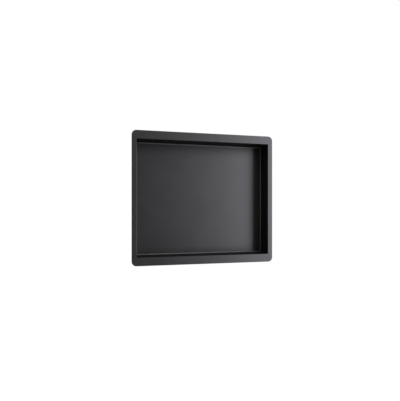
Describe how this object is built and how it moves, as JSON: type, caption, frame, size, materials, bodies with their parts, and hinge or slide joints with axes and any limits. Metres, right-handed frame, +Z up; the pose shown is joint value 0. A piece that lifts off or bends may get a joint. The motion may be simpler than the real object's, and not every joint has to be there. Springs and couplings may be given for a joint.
{
  "type": "shower niche insert",
  "caption": "Recessed shower niche: a shallow rectangular folded-steel tray with a flat, round-cornered flange around its open front, coated satin black, to hold bottles and soap.",
  "frame": {"origin": "middle of the opening, in the plane of the flange's rear face, which lies on the tiles", "axes": "+Z up, +Y back into the wall, so the open front faces -Y, and +X to the right as seen from the front"},
  "size_m": [0.38, 0.0515, 0.343],
  "materials": {
    "black_coat": "satin"
  },
  "bodies": {
    "root": {"niche_shell": "black_coat"}
  },
  "joints": []
}
